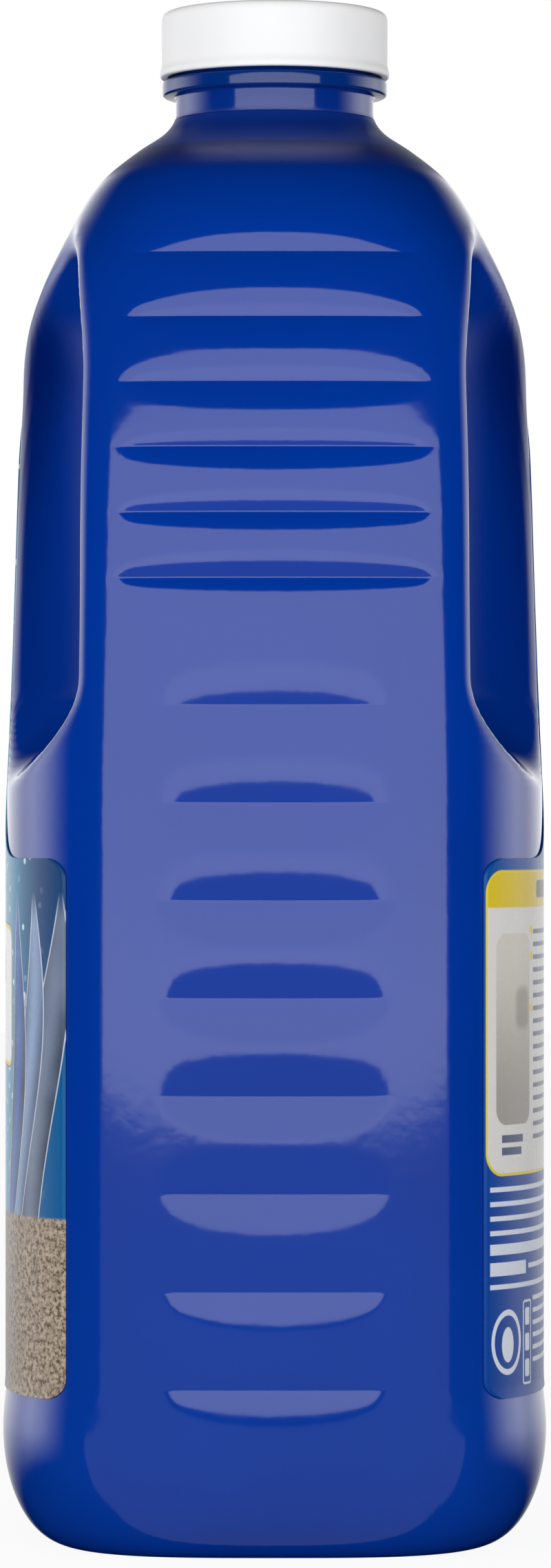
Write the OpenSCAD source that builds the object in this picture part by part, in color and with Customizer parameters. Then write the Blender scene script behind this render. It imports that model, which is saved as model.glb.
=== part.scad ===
// Carpet cleaner bottle: a blow-moulded bottle with a pinch grip, a screw cap and two labels.
// Millimetres, +Z up, origin at the middle of the face that it stands on.
// The ribbed grip side faces +X, the front label -Y and the back label +Y.

/* [Body] */
// Width of the body, from the grip side to the far side
body_w = 130; // [126:1:146]
// Depth of the body across its label panels
body_d = 106.6; // [98:0.2:116]
// Height at which the grip side starts to lean inwards
straight_h = 186; // [182:1:192]
// Height from there to the foot of the neck
shoulder_h = 97.5; // [92:0.5:104]
// Squareness of the section, where 2 is an ellipse
squareness = 3.5; // [3:0.1:4]
// Thickness of the blown wall
wall = 1.1; // [0.8:0.1:1.5]

/* [Base] */
// How far the bumper stands out round the foot of the body
bumper = 0.8; // [0.4:0.1:1.4]
// Height of the rounding at the foot
foot_h = 22; // [18:0.5:23]
// Inward reach of the rounding at the foot
foot_in = 12; // [9:0.5:14]
// Width of the rim that the bottle stands on
rim_w = 5; // [3:0.5:7]
// Rise of the hollow in the middle of the base
punt_h = 5; // [2:0.5:8]

/* [Lower grooves] */
// Number of grooves on the lower grip side
groove_n = 8; // [4:1:8]
// Distance between the creases of two grooves
groove_pitch = 18.7; // [17:0.1:18.8]
// Height of the lowest crease
groove_z = 33.4; // [33:0.1:36]
// Half-length of a groove
groove_half = 21.5; // [14:0.5:26]
// Depth of a crease below the pillows beside it
groove_depth = 0.8; // [0.4:0.1:1.5]

/* [Grip grooves] */
// Number of grooves on the upper grip side
grip_n = 6; // [3:1:6]
// Distance between the creases of two grip grooves
grip_pitch = 12.6; // [11.6:0.1:12.8]
// Height of the lowest grip crease
grip_z = 188.9; // [188:0.1:192]
// Half-length of the lowest grip groove
grip_half = 31.3; // [24:0.1:33]
// Depth of a grip crease below the pillows beside it
grip_depth = 0.9; // [0.4:0.1:1.8]

/* [Finger recesses] */
// Distance from the grip side to the deepest line of a finger recess
recess_back = 31; // [27:0.5:36]
// Half of the thickness left between the two recesses
recess_web = 27; // [22:0.5:34]
// Reach of the recess towards the grip side
recess_near = 31; // [28:0.5:34]
// Reach of the recess towards the far side
recess_far = 29; // [24:0.5:30]
// Height of the lower end of the recess's deepest line
recess_z0 = 170; // [166:1:176]
// Height of the upper end of the recess's deepest line
recess_z1 = 228; // [220:1:234]
// Softness of the recess's edges
recess_soft = 8; // [4:0.5:10]

/* [Neck] */
// Outer diameter of the neck under the thread
neck_d = 39.8; // [36:0.2:42]
// Bore of the neck
neck_bore = 34.9; // [30:0.1:35.5]
// Height of the neck above its foot
neck_h = 18.95; // [17.95:0.05:20.95]
// Diameter of the support ring
ring_d = 45.3; // [43:0.1:46]
// Thickness of the support ring
ring_t = 3; // [2:0.1:3.5]
// Height of the neck between the support ring's top and the mouth
finish_h = 11.25; // [11:0.05:12.5]

/* [Thread] */
// Rise of the thread in one turn
thread_pitch = 4.233; // [4:0.001:4.6]
// Turns of the thread
thread_turns = 1.25; // [0.9:0.05:1.3]
// Height of the thread above the neck
thread_h = 1.15; // [0.8:0.05:1.2]

/* [Cap] */
// Diameter of the cap's side
cap_d = 45.5; // [44.5:0.1:48]
// Height of the cap
cap_h = 13.2; // [12.8:0.1:15]
// Thickness of the cap's top
cap_top = 1.5; // [1.2:0.1:2.5]
// How far the cap's lower edge flares
cap_flare = 0.35; // [0:0.05:0.6]
// Rounding of the cap's top edge
cap_round = 1.8; // [0.8:0.1:3]
// Thickness of the foam disc inside the cap
liner_t = 1; // [0.6:0.1:1.3]

/* [Labels] */
// Height of a label's lower edge
label_z0 = 30.6; // [30:0.1:40]
// Height of a label's upper edge under the recess
label_z1 = 135; // [120:1:144]
// Height of the tall end of a label
label_z2 = 224; // [200:1:230]
// Half-width of a label
label_half = 57; // [48:0.5:57]
// Place of the near edge of the label's tall end
label_step = -1; // [-8:0.5:-1]
// Rounding where the label steps up to its tall end
label_fillet = 42; // [20:1:42]
// Rounding of the tall end's outer corner
label_crown = 24; // [6:1:26]
// Rounding of the label's lower corners
label_corner = 4; // [2:0.5:10]
// Thickness of the label film
label_t = 0.25; // [0.2:0.05:0.4]

/* [Clearances] */
// Gap between the cap's wall and the thread on the neck
cap_clear = 0.45; // [0.3:0.05:0.6]
// Gap between the thread in the cap and the neck
thread_clear = 0.35; // [0.2:0.05:0.5]
// Gap between the mouth and the foam disc
seal_clear = 0.15; // [0.1:0.05:0.3]
// Gap between the foam disc and the cap's wall
liner_clear = 0.3; // [0.2:0.05:0.6]
// Gap between a label and the bottle
label_clear = 0.1; // [0.05:0.05:0.2]

/* [Hidden] */

blue = [0, 0.19, 0.57];
white = [0.94, 0.94, 0.95];
foam = [0.9, 0.9, 0.86];
label_front = [0.1, 0.5, 0.66];
label_back = [0.05, 0.35, 0.65];

half_w = body_w / 2;
half_d = body_d / 2;
neck_r = neck_d / 2;
foot_z = straight_h + shoulder_h;
mouth_z = foot_z + neck_h;
ring_z1 = mouth_z - finish_h;
ring_z0 = ring_z1 - ring_t;
ledge = 0.25;

// Flare of the shoulder over its height: [share of shoulder_h, share of the flare] from the neck's radius
// out to the body's half-width, and to its half-depth. The depth already narrows below the shoulder.
width_curve = [[-0.1, 1], [0, 1], [0.14, 0.992], [0.28, 0.97], [0.41, 0.936], [0.54, 0.893], [0.68, 0.833],
    [0.79, 0.742], [0.887, 0.5], [0.947, 0.215], [0.975, 0.06], [1, 0], [1.1, 0]];
depth_curve = [[-0.52, 1], [-0.38, 1], [0.04, 0.964], [0.38, 0.928], [0.555, 0.893], [0.655, 0.794],
    [0.76, 0.627], [0.86, 0.445], [0.925, 0.235], [0.968, 0.065], [1, 0], [1.1, 0]];
square_curve = [[-0.1, 1], [0.3, 1], [0.68, 0.75], [0.86, 0.4], [1, 0], [1.1, 0]];

// A smooth curve through the points of a table, by the slopes between its neighbours
function slope(t, i) =
    i <= 0 || i >= len(t) - 1 ? 0
    : ((t[i + 1][1] - t[i][1]) / (t[i + 1][0] - t[i][0]) + (t[i][1] - t[i - 1][1]) / (t[i][0] - t[i - 1][0])) / 2;
function piece(t, i, x) =
    let (w = t[i + 1][0] - t[i][0], u = (x - t[i][0]) / w)
    (1 + 2 * u) * (1 - u) * (1 - u) * t[i][1] + u * (1 - u) * (1 - u) * w * slope(t, i)
    + u * u * (3 - 2 * u) * t[i + 1][1] + u * u * (u - 1) * w * slope(t, i + 1);
function curve(t, x, i = 0) =
    x <= t[0][0] ? t[0][1]
    : i >= len(t) - 1 ? t[len(t) - 1][1]
    : x <= t[i + 1][0] ? piece(t, i, x)
    : curve(t, x, i + 1);

// Half-width, half-depth and squareness of the body's section at height z
function share(z) = (z - straight_h) / shoulder_h;
function bump(z) = let (u = abs(z - foot_h) / (groove_z - foot_h)) u >= 1 ? 0 : bumper * pow(1 - u * u, 2);
foot_r = neck_r + ledge;
function half_x(z) = foot_r + (half_w - foot_r) * curve(width_curve, share(z)) + bump(z);
function half_y(z) = foot_r + (half_d - foot_r) * curve(depth_curve, share(z)) + bump(z);
function square_at(z) = 2 + (squareness - 2) * curve(square_curve, share(z));

// Rows of the skin from the middle of the base up to the neck: [half-width, half-depth, squareness, z]
foot_x = half_x(foot_h) - foot_in;
foot_y = half_y(foot_h) - foot_in;
function flat_row(k, z) = [foot_x * k, foot_y * k, squareness, z];
function foot_row(u) = [foot_x + foot_in * sin(u), foot_y + foot_in * sin(u), squareness, foot_h * (1 - cos(u))];
function wall_row(z) = [half_x(z), half_y(z), square_at(z), z];

rim_share = 1 - rim_w / foot_y;
groove_low = groove_z - groove_pitch / 2;
groove_top = groove_low + groove_n * groove_pitch;
grip_low = grip_z - grip_pitch / 2;
grip_top = grip_low + grip_n * grip_pitch;
foot_rows = 10;
dome_rows = 12;
neck_curve_rows = 8;

punt_rows = 7;
punt_middle = 0.3;
punt_power = 6;
base_rows = concat(
    [for (i = [0:punt_rows - 1])
        let (k = punt_middle + (1 - punt_middle) * sin(90 * i / (punt_rows - 1)))
        flat_row(k * rim_share, punt_h * (1 - pow(k, punt_power)))],
    [flat_row((1 + rim_share) / 2, 0)]
);
neck_curve_share = 0.14;
dome_end = foot_z - neck_curve_share * shoulder_h;
rows = concat(
    base_rows,
    [for (i = [0:foot_rows - 1]) foot_row(90 * i / foot_rows)],
    [wall_row(foot_h), wall_row((foot_h + groove_low) / 2)],
    [for (i = [0:4 * groove_n]) wall_row(groove_low + i * groove_pitch / 4)],
    [wall_row((groove_top + grip_low) / 2)],
    [for (i = [0:4 * grip_n]) wall_row(grip_low + i * grip_pitch / 4)],
    [for (i = [1:dome_rows]) wall_row(grip_top + (dome_end - grip_top) * i / dome_rows)],
    [for (i = [1:neck_curve_rows]) wall_row(dome_end + (foot_z - dome_end) * i / neck_curve_rows)]
);

// Columns of the skin, as angles: close together on the grip side and over the recesses
panel_cols = 14;
panel_angle = 37.5;
recess_cols = 14;
recess_angle = 98;
back_cols = 8;
half_cols = concat(
    [for (i = [1:recess_cols]) panel_angle + (recess_angle - panel_angle) * i / recess_cols],
    [for (i = [1:back_cols]) recess_angle + (180 - recess_angle) * i / back_cols]
);
columns = concat(
    [for (i = [0:panel_cols]) panel_angle * (2 * i / panel_cols - 1)],
    half_cols,
    [for (i = [len(half_cols) - 2:-1:0]) 360 - half_cols[i]]
);

// A finger recess: a scoop that runs up each broad side behind the grip panel
function square(x) = x * x;
function scoop_y(x, z, lean) =
    let (
        xm = half_w - recess_back - lean,
        across = x > xm ? (x - xm) / recess_near : (xm - x) / recess_far,
        along = z < recess_z0 ? (recess_z0 - z) / recess_low : z > recess_z1 ? (z - recess_z1) / recess_high : 0
    )
    recess_web + recess_rise * (square(across) + square(along));
recess_rise = 23;
recess_low = 17.6;
recess_high = 37.8;
function soft_min(a, b, k) = let (h = max(k - abs(a - b), 0) / k) min(a, b) - h * h * k / 4;

// Depth of the grooves at height z and distance y from the middle of the grip side: between two creases
// the wall is a shallow arc, and a crease is weaker towards its ends
function crease(z, z0, n, pitch) =
    let (i = min(max(round((z - z0) / pitch), 0), n - 1), u = abs(z - z0 - i * pitch) / (pitch / 2))
    u >= 1 ? 0 : square(1 - u);
function smooth_step(x) = let (u = min(max(x, 0), 1)) u * u * (3 - 2 * u);
function fade(y, half) =
    (1 - groove_droop * square(min(abs(y) / half, 1))) * smooth_step((half - abs(y)) / groove_end);
groove_droop = 0.38;
groove_end = 2.5;
grip_taper = 0.045;
function groove_in(y, z) =
    groove_depth * crease(z, groove_z, groove_n, groove_pitch) * fade(y, groove_half)
    + grip_depth * crease(z, grip_z, grip_n, grip_pitch) * fade(y, grip_half - grip_taper * (z - grip_z));

// A point of the outer skin on row r at angle t
function section_point(r, t) =
    let (
        c = cos(t),
        s = sin(t),
        k = pow(pow(abs(c), r[2]) + pow(abs(s), r[2]), -1 / r[2])
    )
    [r[0] * c * k, r[1] * s * k];
function skin(r, t) =
    let (
        p = section_point(r, t),
        z = r[3],
        scooped = z < label_z1 || z > foot_z ? abs(p[1])
            : soft_min(abs(p[1]), scoop_y(p[0], z, half_w - r[0]), recess_soft),
        side = p[1] < 0 ? -1 : 1,
        cut = p[0] > 0 && z > foot_h ? groove_in(p[1], z) : 0
    )
    [p[0] - cut, side * scooped, z];

grid = [for (r = rows) [for (t = columns) skin(r, t)]];
nr = len(rows);
nc = len(columns);

// Outward direction of the skin at a point of the grid, from its neighbours
function unit(v) = v / norm(v);
function outward(i, j) =
    i == 0 ? [0, 0, -1]
    : unit(cross(
        grid[i][(j + 1) % nc] - grid[i][(j + nc - 1) % nc],
        grid[min(i + 1, nr - 1)][j] - grid[i - 1][j]
    ));
function offset_point(i, j, d) = grid[i][j] + d * outward(i, j);

// The inside of the wall follows the creases of the grooves, and every second row of the dome
low_first = len(base_rows) + foot_rows + 2;
grip_first = low_first + 4 * groove_n + 2;
dome_first = grip_first + 4 * grip_n;
inner_rows = concat(
    [0],
    [for (i = [2:4:low_first - 1]) i],
    [for (i = [0:groove_n - 1]) low_first + 2 + 4 * i],
    [for (i = [0:grip_n - 1]) grip_first + 2 + 4 * i],
    [for (i = [dome_first:2:nr - 1]) i]
);
inner = [for (i = inner_rows) [for (j = [0:nc - 1]) offset_point(i, j, -wall)]];
ni = len(inner);

// Faces of the skin: every row on the grip panel and every second row elsewhere
function at(i, j) = i * nc + j % nc;
function inner_at(i, j) = nr * nc + i * nc + j % nc;
function quad(a, b, c, d) = [[a, b, c], [a, c, d]];
panel_faces = [
    for (i = [0:nr - 2])
        for (j = [0:panel_cols - 1])
            each quad(at(i, j), at(i + 1, j), at(i + 1, j + 1), at(i, j + 1))
];
body_faces = [
    for (i = [0:2:nr - 3])
        for (j = [panel_cols + 1:nc - 2])
            each quad(at(i, j), at(i + 2, j), at(i + 2, j + 1), at(i, j + 1))
];
left_faces = [
    for (i = [0:2:nr - 3])
        let (j = panel_cols)
        each [
            [at(i, j), at(i + 1, j), at(i, j + 1)],
            [at(i + 1, j), at(i + 2, j), at(i + 2, j + 1)],
            [at(i + 1, j), at(i + 2, j + 1), at(i, j + 1)]
        ]
];
right_faces = [
    for (i = [0:2:nr - 3])
        let (j = nc - 1)
        each [
            [at(i, j), at(i + 1, 0), at(i, 0)],
            [at(i + 2, j), at(i + 2, 0), at(i + 1, 0)],
            [at(i, j), at(i + 2, j), at(i + 1, 0)]
        ]
];
inner_faces = [
    for (i = [0:ni - 2])
        for (j = [0:nc - 1])
            each quad(inner_at(i, j), inner_at(i, j + 1), inner_at(i + 1, j + 1), inner_at(i + 1, j))
];
lip_faces = [
    for (j = [0:nc - 1])
        each quad(at(nr - 1, j), inner_at(ni - 1, j), inner_at(ni - 1, j + 1), at(nr - 1, j + 1))
];
end_faces = [
    [for (j = [0:nc - 1]) at(0, j)],
    [for (j = [nc - 1:-1:0]) inner_at(0, j)]
];

module blown_body() {
    polyhedron(
        points = concat([for (r = grid) each r], [for (r = inner) each r]),
        faces = concat(panel_faces, body_faces, left_faces, right_faces, inner_faces, lip_faces, end_faces),
        convexity = 12
    );
}

// The neck with its support ring, as one turned profile
tongue_in = 0.3;
tongue_t = 0.3;
neck_cone = 2;
edge = 0.5;
module neck() {
    bore = neck_bore / 2;
    ring_r = ring_d / 2;
    rotate_extrude($fn = 96)
        polygon([
            [neck_r - tongue_in - tongue_t, foot_z - neck_cone], [neck_r - tongue_in, foot_z - neck_cone],
            [neck_r, foot_z - tongue_in], [neck_r, ring_z0 - edge], [neck_r + edge, ring_z0],
            [ring_r - edge, ring_z0], [ring_r, ring_z0 + edge],
            [ring_r, ring_z1 - edge], [ring_r - edge, ring_z1],
            [neck_r, ring_z1], [neck_r, mouth_z - edge],
            [neck_r - edge, mouth_z], [bore + edge, mouth_z],
            [bore, mouth_z - edge], [bore, foot_z + neck_cone]
        ]);
}

// A thread: a four-sided section carried up a helix, tapered to nothing at both ends
thread_step = 12;
thread_fade = 36;
thread_tip = 0.02;
module helix(root, crest, base_w, crest_w, z0) {
    steps = round(360 * thread_turns / thread_step);
    full = thread_step * steps;
    ring_points = [
        for (i = [0:steps])
            let (
                t = thread_step * i,
                f = max(min(t, full - t, thread_fade) / thread_fade, thread_tip),
                r = root + (crest - root) * f,
                z = z0 + thread_pitch * t / 360
            )
            each [
                [root * cos(t), root * sin(t), z - base_w / 2],
                [r * cos(t), r * sin(t), z - crest_w / 2],
                [r * cos(t), r * sin(t), z + crest_w / 2],
                [root * cos(t), root * sin(t), z + base_w / 2]
            ]
    ];
    out = crest > root;
    sides = [
        for (i = [0:steps - 1])
            for (k = [0:3])
                each quad(4 * i + k, 4 * i + (k + 1) % 4, 4 * i + 4 + (k + 1) % 4, 4 * i + 4 + k)
    ];
    ends = [[3, 2, 1], [3, 1, 0], [4 * steps, 4 * steps + 1, 4 * steps + 2], [4 * steps, 4 * steps + 2, 4 * steps + 3]];
    all_faces = concat(sides, ends);
    polyhedron(
        points = ring_points,
        faces = out ? all_faces : [for (f = all_faces) [f[2], f[1], f[0]]],
        convexity = 4
    );
}

thread_start = 25;
bury = 0.3;
thread_base = 2;
thread_crest = 0.9;
thread_rise = 2.1;
cap_thread_z = ring_z1 + thread_rise;
neck_thread_z = cap_thread_z + thread_pitch / 2;
thread_r = neck_r + thread_h;

module bottle() {
    color(blue)
        union() {
            blown_body();
            neck();
            rotate(thread_start)
                helix(neck_r - bury, thread_r, thread_base, thread_crest, neck_thread_z);
        }
}

// The cap: a turned shell, rounded at its top edge and flared at its lower edge
cap_r = cap_d / 2;
cap_bore = thread_r + cap_clear;
liner_z0 = mouth_z + seal_clear;
liner_z1 = liner_z0 + liner_t;
cap_z1 = liner_z1 + cap_top;
cap_z0 = cap_z1 - cap_h;
flare_h = 2.2;
round_steps = 8;
module cap() {
    color(white)
        union() {
            rotate_extrude($fn = 120)
                polygon(concat(
                    [[0, liner_z1], [cap_bore, liner_z1], [cap_bore, cap_z0 + edge], [cap_bore + edge, cap_z0]],
                    [[cap_r + cap_flare - edge / 2, cap_z0], [cap_r + cap_flare, cap_z0 + edge / 2]],
                    [[cap_r, cap_z0 + flare_h]],
                    [for (i = [0:round_steps])
                        let (t = 90 * i / round_steps)
                        [cap_r - cap_round * (1 - cos(t)), cap_z1 - cap_round * (1 - sin(t))]],
                    [[0, cap_z1]]
                ));
            rotate(thread_start)
                helix(cap_bore + bury, neck_r + thread_clear, thread_base, thread_crest, cap_thread_z);
        }
}

// The foam disc that seals the mouth
module cap_liner() {
    color(foam)
        translate([0, 0, liner_z0])
            cylinder(h = liner_t, r = cap_bore - liner_clear, $fn = 96);
}

// A label: a film parallel to the skin, cut to an outline with a tall end beyond the recess
function arc(x, z, r, a0, a1, n = 8) = [for (i = [0:n]) let (t = a0 + (a1 - a0) * i / n) [x + r * cos(t), z + r * sin(t)]];
tall_round = 12;
module label_outline() {
    c = label_corner;
    f = label_fillet;
    polygon(concat(
        arc(-label_half + c, label_z0 + c, c, 180, 270),
        arc(label_half - c, label_z0 + c, c, 270, 360),
        arc(label_half - c, label_z1 - c, c, 0, 90),
        arc(label_step + f, label_z1 + f, f, 270, 180),
        arc(label_step - tall_round, label_z2 - tall_round, tall_round, 0, 90),
        arc(-label_half + label_crown, label_z2 - label_crown, label_crown, 90, 180)
    ));
}

film_rows = concat(
    [low_first - 2, low_first, low_first + 2],
    [for (i = [low_first + 4:2:dome_first]) if (rows[i + 2][3] > label_z1 && rows[i - 2][3] < label_z2) i]
);
film_c0 = panel_cols;
film_back_cols = 4;
film_c1 = panel_cols + recess_cols + film_back_cols;
module film(d0, d1) {
    n = film_c1 - film_c0 + 1;
    m = len(film_rows);
    points = [for (d = [d0, d1]) for (i = film_rows) for (j = [film_c0:film_c1]) offset_point(i, j, d)];
    function low(i, j) = i * n + j;
    function top(i, j) = (m + i) * n + j;
    cells = [
        for (i = [0:m - 2])
            for (j = [0:n - 2])
                each concat(
                    quad(top(i, j), top(i + 1, j), top(i + 1, j + 1), top(i, j + 1)),
                    quad(low(i, j), low(i, j + 1), low(i + 1, j + 1), low(i + 1, j))
                )
    ];
    sides = [
        for (i = [0:m - 2])
            each concat(
                quad(low(i, 0), low(i + 1, 0), top(i + 1, 0), top(i, 0)),
                quad(low(i, n - 1), top(i, n - 1), top(i + 1, n - 1), low(i + 1, n - 1))
            )
    ];
    ends = [
        for (j = [0:n - 2])
            each concat(
                quad(low(0, j), top(0, j), top(0, j + 1), low(0, j + 1)),
                quad(low(m - 1, j), low(m - 1, j + 1), top(m - 1, j + 1), top(m - 1, j))
            )
    ];
    polyhedron(points = points, faces = concat(cells, sides, ends), convexity = 6);
}

module label() {
    intersection() {
        film(label_clear, label_clear + label_t);
        rotate([90, 0, 0])
            translate([0, 0, -body_d])
                linear_extrude(body_d)
                    label_outline();
    }
}

module back_label() {
    color(label_back) label();
}

module front_label() {
    color(label_front) mirror([0, 1, 0]) label();
}

bottle();
cap();
cap_liner();
front_label();
back_label();
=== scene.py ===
"""Looks for a tall blue cleaner bottle with a screw cap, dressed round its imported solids.

Every length is in metres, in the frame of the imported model: +Z up, the grooved grip side facing +X,
the front label -Y and the back label +Y.
"""

from __future__ import annotations

import logging
import math
from collections.abc import Callable
from dataclasses import dataclass, field
from enum import Enum

import bpy
import numpy as np
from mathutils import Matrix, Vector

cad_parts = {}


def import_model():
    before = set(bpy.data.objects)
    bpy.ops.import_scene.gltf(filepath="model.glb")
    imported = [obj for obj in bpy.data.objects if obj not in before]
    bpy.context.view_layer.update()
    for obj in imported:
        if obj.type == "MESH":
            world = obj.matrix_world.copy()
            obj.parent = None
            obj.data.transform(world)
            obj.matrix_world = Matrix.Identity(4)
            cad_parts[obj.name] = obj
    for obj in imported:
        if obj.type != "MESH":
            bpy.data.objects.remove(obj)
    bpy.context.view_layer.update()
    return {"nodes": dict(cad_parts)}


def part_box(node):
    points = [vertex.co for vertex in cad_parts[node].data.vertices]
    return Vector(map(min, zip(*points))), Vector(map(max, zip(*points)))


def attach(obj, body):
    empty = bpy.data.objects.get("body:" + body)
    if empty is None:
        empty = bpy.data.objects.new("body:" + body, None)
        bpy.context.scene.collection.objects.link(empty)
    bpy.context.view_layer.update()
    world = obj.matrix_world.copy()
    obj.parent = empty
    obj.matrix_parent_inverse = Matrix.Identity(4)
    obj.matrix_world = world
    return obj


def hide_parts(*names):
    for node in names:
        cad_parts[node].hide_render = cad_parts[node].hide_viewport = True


LOG = logging.getLogger("bottle")
MM = 0.001

Pair = tuple[float, float]
Curve = tuple[Pair, ...]
Shell = tuple[np.ndarray, list[np.ndarray]]


class Side(Enum):
    """The two broad sides of the bottle, by the sign of Y."""

    FRONT = -1
    BACK = 1


def smooth_curve(table: Curve, x: np.ndarray) -> np.ndarray:
    """Passes a smooth curve through the points of a table.

    Between two points it is the cubic whose slopes there are the means of the slopes on both sides.

    Args:
        table: points (x, value) in rising order of x.
        x: where to read the curve.

    Returns:
        The curve's values, held level beyond the table's ends.
    """
    px, py = np.array(table).T
    steps = np.diff(py) / np.diff(px)
    slopes = np.concatenate([[0.0], (steps[1:] + steps[:-1]) / 2, [0.0]])
    x = np.clip(x, px[0], px[-1])
    i = np.clip(np.searchsorted(px, x) - 1, 0, len(px) - 2)
    w = px[i + 1] - px[i]
    u = (x - px[i]) / w
    return (
        (1 + 2 * u) * (1 - u) ** 2 * py[i]
        + u * (1 - u) ** 2 * w * slopes[i]
        + u**2 * (3 - 2 * u) * py[i + 1]
        + u**2 * (u - 1) * w * slopes[i + 1]
    )


def smooth_step(x: np.ndarray) -> np.ndarray:
    """Rises from 0 to 1 as x does, level at both ends."""
    u = np.clip(x, 0, 1)
    return u * u * (3 - 2 * u)


def soft_min(a: np.ndarray, b: np.ndarray, soft: float) -> np.ndarray:
    """Takes the smaller of a and b, rounded where they differ by less than soft."""
    h = np.maximum(soft - np.abs(a - b), 0) / soft
    return np.minimum(a, b) - h * h * soft / 4


def unit_rows(v: np.ndarray) -> np.ndarray:
    """Scales the vectors on an array's last axis to length 1."""
    return v / np.maximum(np.linalg.norm(v, axis=-1, keepdims=True), 1e-12)


def grid_normals(points: np.ndarray) -> np.ndarray:
    """Finds the outward directions of a closed ring grid, from the neighbours of each point.

    Args:
        points: an array of rows, columns and 3, whose columns run anticlockwise and close.

    Returns:
        An array of the same shape.
    """
    along = np.roll(points, -1, axis=1) - np.roll(points, 1, axis=1)
    up = np.gradient(points, axis=0)
    return unit_rows(np.cross(along, up))


def make_object(name: str, shell: Shell, material: bpy.types.Material,
                uv: np.ndarray | None = None) -> bpy.types.Object:
    """Makes a smooth mesh object at the origin.

    Args:
        name: the object's name.
        shell: its points, and arrays of vertex numbers, each with one number of corners to a face.
        material: its finish.
        uv: a place on the print for each vertex, or None.

    Returns:
        The new object.
    """
    vertices, faces = shell
    mesh = bpy.data.meshes.new(name)
    counts = np.concatenate([np.full(len(f), f.shape[1]) for f in faces])
    corners = np.concatenate([f.ravel() for f in faces]).astype(np.int32)
    mesh.vertices.add(len(vertices))
    mesh.vertices.foreach_set("co", np.ascontiguousarray(vertices, dtype=np.float32).ravel())
    mesh.loops.add(len(corners))
    mesh.loops.foreach_set("vertex_index", corners)
    mesh.polygons.add(len(counts))
    mesh.polygons.foreach_set("loop_start", (np.cumsum(counts) - counts).astype(np.int32))
    mesh.polygons.foreach_set("use_smooth", np.full(len(counts), True))
    if uv is not None:
        layer = mesh.uv_layers.new(name="print")
        layer.data.foreach_set("uv", np.ascontiguousarray(uv[corners], dtype=np.float32).ravel())
    mesh.update(calc_edges=True)
    mesh.validate()
    mesh.materials.append(material)
    made = bpy.data.objects.new(name, mesh)
    bpy.context.scene.collection.objects.link(made)
    return made


def grid_faces(index: np.ndarray, flip: bool = False) -> np.ndarray:
    """Joins the neighbours of a grid of vertex numbers into four-cornered faces.

    Args:
        index: an array of rows and columns.
        flip: whether the faces are turned round.

    Returns:
        An array of faces, anticlockwise with the columns to the right and the rows upwards.
    """
    corners = index[:-1, :-1], index[:-1, 1:], index[1:, 1:], index[1:, :-1]
    quads = np.stack(corners, axis=-1).reshape(-1, 4)
    return quads[:, ::-1] if flip else quads


def ring_index(rows: int, cols: int, start: int = 0) -> np.ndarray:
    """Numbers a grid whose columns close into rings: the first column comes again at the end."""
    index = start + np.arange(rows * cols).reshape(rows, cols)
    return np.concatenate([index, index[:, :1]], axis=1)


def fan_faces(ring: np.ndarray, centre: int, flip: bool = False) -> np.ndarray:
    """Closes a ring of vertex numbers with triangles to a centre.

    Args:
        ring: the ring's numbers, the first again at the end.
        centre: the number of the centre.
        flip: whether the faces are turned round.

    Returns:
        An array of triangles.
    """
    fan = np.stack([ring[:-1], ring[1:], np.full(len(ring) - 1, centre)], axis=-1)
    return fan[:, ::-1] if flip else fan


def joined(parts: list[Shell]) -> Shell:
    """Puts several shells' vertices and faces into one."""
    faces, count = [], 0
    for vertices, part_faces in parts:
        faces.extend(f + count for f in part_faces)
        count += len(vertices)
    return np.concatenate([v for v, _ in parts]), faces


def revolve(profile: np.ndarray, cols: int, closed: bool = True) -> Shell:
    """Carries a profile round the Z axis.

    Args:
        profile: points (radius, z), anticlockwise seen with the radius to the right and z up. An open
            profile starts and ends on the axis, where its end points are left out.
        cols: how many points to a turn.
        closed: whether the profile is a closed loop.

    Returns:
        The vertices and faces of the closed shell.
    """
    t = np.linspace(0, 2 * np.pi, cols, endpoint=False)
    r, z = profile[:, :1], profile[:, 1:]
    points = np.stack([r * np.cos(t), r * np.sin(t), z + 0 * t], axis=-1).reshape(-1, 3)
    index = ring_index(len(profile), cols)
    if closed:
        return points, [grid_faces(np.concatenate([index, index[:1]]))]
    ends = np.array([[0, 0, profile[0, 1]], [0, 0, profile[-1, 1]]])
    count = len(points)
    faces = [grid_faces(index), fan_faces(index[0], count, flip=True), fan_faces(index[-1], count + 1)]
    return np.concatenate([points, ends]), faces


def rounded_profile(corners: tuple[tuple[float, float, float], ...], steps: int = 5) -> np.ndarray:
    """Rounds the corners of a closed outline.

    Each corner becomes an arc that starts and ends its rounding away from the corner along both sides.

    Args:
        corners: points (x, y, rounding) in order.
        steps: how many pieces each arc has.

    Returns:
        An array of points.
    """
    pts = np.array([c[:2] for c in corners])
    out = []
    for i, (x, y, reach) in enumerate(corners):
        here = np.array([x, y])
        if reach <= 0:
            out.append(here[None])
            continue
        before = here + unit_rows(pts[i - 1] - here) * reach
        after = here + unit_rows(pts[(i + 1) % len(pts)] - here) * reach
        u = np.linspace(0, 1, steps + 1)[:, None]
        out.append((1 - u) ** 2 * before + 2 * u * (1 - u) * here + u**2 * after)
    return np.concatenate(out)


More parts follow.
